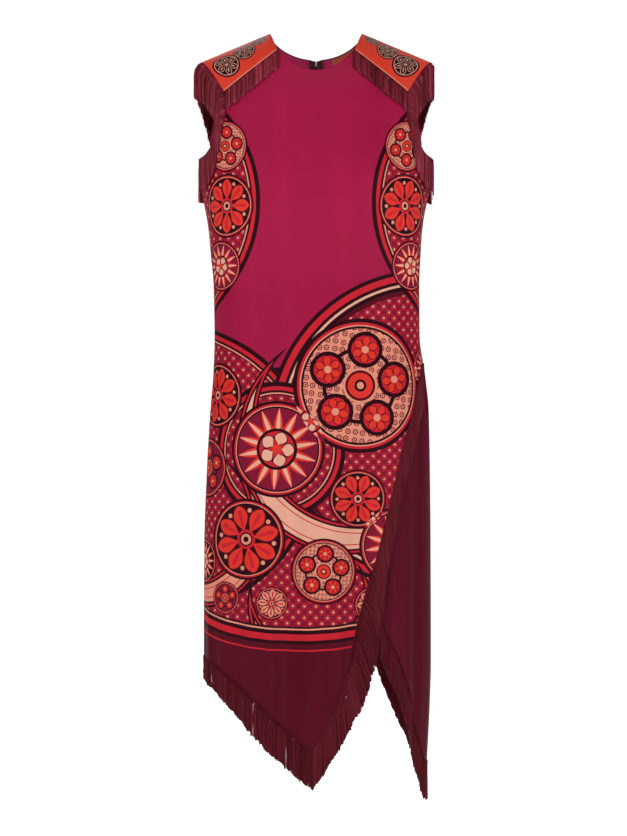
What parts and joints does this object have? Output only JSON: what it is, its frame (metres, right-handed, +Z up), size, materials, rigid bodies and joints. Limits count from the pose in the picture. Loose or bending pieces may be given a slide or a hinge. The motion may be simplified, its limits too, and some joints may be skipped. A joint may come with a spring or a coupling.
{
  "type": "sleeveless fringed scarf dress",
  "caption": "Hollow worn-shaped scarf dress with fringed shoulder pieces, a wrap skirt edge, pointed fringed hems and a zip down the back.",
  "frame": {"origin": "midway between the two points where the shoulder seams meet the neckline, where the wearer's shoulders hold the dress", "axes": "+Z up along the body, -Y out of the front, +X towards the side where the wrapped skirt opens"},
  "size_m": [0.387, 0.2052, 1.2221],
  "materials": {
    "magenta_silk": "soft satin sheen, printed",
    "plum_silk": "soft satin sheen",
    "orange_silk": "soft satin sheen, printed",
    "fringe_silk": "twisted silk yarn",
    "zip_tape": "matte woven tape",
    "zip_metal": "glossy enamel over metal"
  },
  "bodies": {
    "dress": {"front_panel": "magenta_silk", "back_panel_left": "magenta_silk", "back_panel_right": "magenta_silk", "under_panel": "plum_silk", "shoulder_piece_left": "orange_silk", "shoulder_piece_right": "orange_silk", "zip_tape_left": "zip_tape", "zip_tape_right": "zip_tape", "zip_slider": "zip_metal", "fringe_front_hem": "fringe_silk", "fringe_wrap_edge": "fringe_silk", "fringe_under_hem": "fringe_silk", "fringe_back_hem_left": "fringe_silk", "fringe_back_hem_right": "fringe_silk", "fringe_shoulder_front_left": "fringe_silk", "fringe_shoulder_front_right": "fringe_silk", "fringe_shoulder_back_left": "fringe_silk", "fringe_shoulder_back_right": "fringe_silk", "fringe_armhole_front_left": "fringe_silk", "fringe_armhole_front_right": "fringe_silk", "fringe_armhole_back_left": "fringe_silk", "fringe_armhole_back_right": "fringe_silk", "fringe_cap_left": "fringe_silk", "fringe_cap_right": "fringe_silk"},
    "pull": {"zip_pull": "zip_metal"}
  },
  "joints": [
    {"name": "zip_pull_hinge", "type": "hinge", "parent": "dress", "child": "pull", "pos_m": [0, 0.07097, -0.04334], "axis": [1, 0, 0], "range_deg": [0, 150]}
  ]
}
